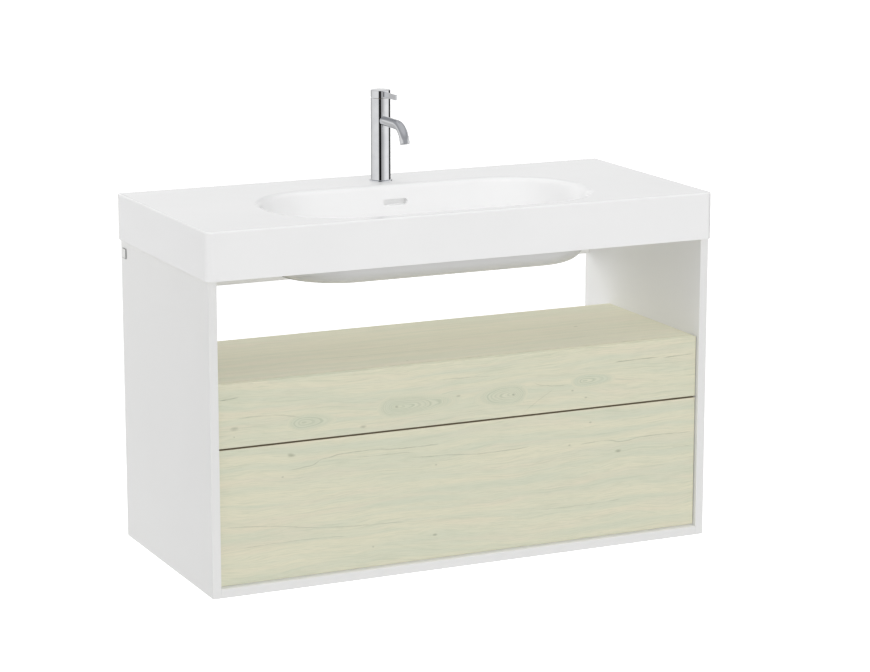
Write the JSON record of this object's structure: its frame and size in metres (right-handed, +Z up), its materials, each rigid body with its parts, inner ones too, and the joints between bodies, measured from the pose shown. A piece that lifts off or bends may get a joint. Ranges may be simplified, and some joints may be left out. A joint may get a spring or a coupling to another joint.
{
  "type": "wall-hung vanity unit",
  "caption": "Wall-hung bathroom vanity: ceramic basin with a single-lever tap on a white cabinet with an open shelf niche and wood-decor drawers with press-to-open fronts.",
  "frame": {"origin": "on the wall plane, at the middle of the cabinet's width, level with the cabinet's underside", "axes": "+X along the width to the right as seen from the front, +Y into the wall, +Z up"},
  "size_m": [1, 0.46, 0.83],
  "materials": {
    "basin_ceramic": "gloss",
    "basin_seal": "matte",
    "white_board": "white melamine board, satin",
    "oak_decor": "whitewashed oak decor board, matte",
    "hanger_plastic": "matte",
    "zinc_steel": "zinc plated",
    "drawer_board": "white melamine board, satin",
    "runner_steel": "zinc plated",
    "latch_plastic": "matte",
    "tap_chrome": "polished",
    "aerator_plastic": "matte",
    "cartridge_plastic": "matte",
    "tap_brass": "machined",
    "tap_gasket": "matte"
  },
  "bodies": {
    "cabinet": {"basin": "basin_ceramic", "basin_seal": "basin_seal", "side_panel_left": "white_board", "side_panel_right": "white_board", "bottom_panel": "white_board", "bay_back_panel": "white_board", "top_rail": "white_board", "shelf_panel": "oak_decor", "hanger_left": "hanger_plastic", "hanger_right": "hanger_plastic", "hanger_hook_left": "zinc_steel", "hanger_hook_right": "zinc_steel", "wall_plate_left": "zinc_steel", "wall_plate_right": "zinc_steel", "tap_horseshoe": "zinc_steel", "tap_stud": "zinc_steel", "upper_runner_cabinet_left": "runner_steel", "upper_runner_cabinet_right": "runner_steel", "lower_runner_cabinet_left": "runner_steel", "lower_runner_cabinet_right": "runner_steel", "latch_housings": "latch_plastic", "tap_base_ring": "tap_chrome", "tap_body": "tap_chrome", "tap_spout": "tap_chrome", "tap_aerator": "aerator_plastic", "tap_cartridge": "cartridge_plastic", "tap_cartridge_nut": "tap_brass", "tap_nut": "tap_brass", "tap_gasket": "tap_gasket"},
    "upper_drawer": {"upper_front": "oak_decor", "upper_drawer_bottom": "drawer_board", "upper_drawer_back": "drawer_board", "upper_front_brackets": "zinc_steel", "upper_drawer_side_left": "drawer_board", "upper_drawer_side_right": "drawer_board", "upper_runner_drawer_left": "runner_steel", "upper_runner_drawer_right": "runner_steel"},
    "lower_drawer": {"lower_front": "oak_decor", "lower_drawer_bottom": "drawer_board", "lower_drawer_back": "drawer_board", "lower_front_brackets": "zinc_steel", "lower_drawer_side_left": "drawer_board", "lower_drawer_side_right": "drawer_board", "lower_runner_drawer_left": "runner_steel", "lower_runner_drawer_right": "runner_steel"},
    "upper_runners": {"upper_runner_middle_left": "runner_steel", "upper_runner_middle_right": "runner_steel"},
    "lower_runners": {"lower_runner_middle_left": "runner_steel", "lower_runner_middle_right": "runner_steel"},
    "tap_turning_collar": {"tap_cartridge_collar": "cartridge_plastic"},
    "tap_handle": {"tap_stem": "tap_brass", "tap_cap": "tap_chrome", "tap_lever": "tap_chrome"},
    "upper_latch_plungers": {"upper_plungers": "latch_plastic"},
    "lower_latch_plungers": {"lower_plungers": "latch_plastic"}
  },
  "joints": [
    {"name": "upper_drawer_slide", "type": "slide", "parent": "cabinet", "child": "upper_drawer", "axis": [0, -1, 0], "range_m": [0, 0.26]},
    {"name": "upper_runner_slide", "type": "slide", "parent": "cabinet", "child": "upper_runners", "axis": [0, -1, 0], "range_m": [0, 0.13]},
    {"name": "lower_drawer_slide", "type": "slide", "parent": "cabinet", "child": "lower_drawer", "axis": [0, -1, 0], "range_m": [0, 0.26]},
    {"name": "lower_runner_slide", "type": "slide", "parent": "cabinet", "child": "lower_runners", "axis": [0, -1, 0], "range_m": [0, 0.13]},
    {"name": "tap_turn", "type": "hinge", "parent": "cabinet", "child": "tap_turning_collar", "pos_m": [0, -0.072, 0.8155], "axis": [0, 0, 1], "range_deg": [-45, 45]},
    {"name": "tap_lift", "type": "hinge", "parent": "tap_turning_collar", "child": "tap_handle", "pos_m": [0, -0.072, 0.8155], "axis": [-1, 0, 0], "range_deg": [0, 15]},
    {"name": "upper_latch_press", "type": "slide", "parent": "cabinet", "child": "upper_latch_plungers", "axis": [0, 1, 0], "range_m": [0, 0.0025], "stiffness_N_per_m": 300, "springref_m": -0.003},
    {"name": "lower_latch_press", "type": "slide", "parent": "cabinet", "child": "lower_latch_plungers", "axis": [0, 1, 0], "range_m": [0, 0.0025], "stiffness_N_per_m": 300, "springref_m": -0.003}
  ],
  "couplings": [
    {"joint": "upper_runner_slide", "follows": "upper_drawer_slide", "ratio": 0.5},
    {"joint": "lower_runner_slide", "follows": "lower_drawer_slide", "ratio": 0.5}
  ]
}
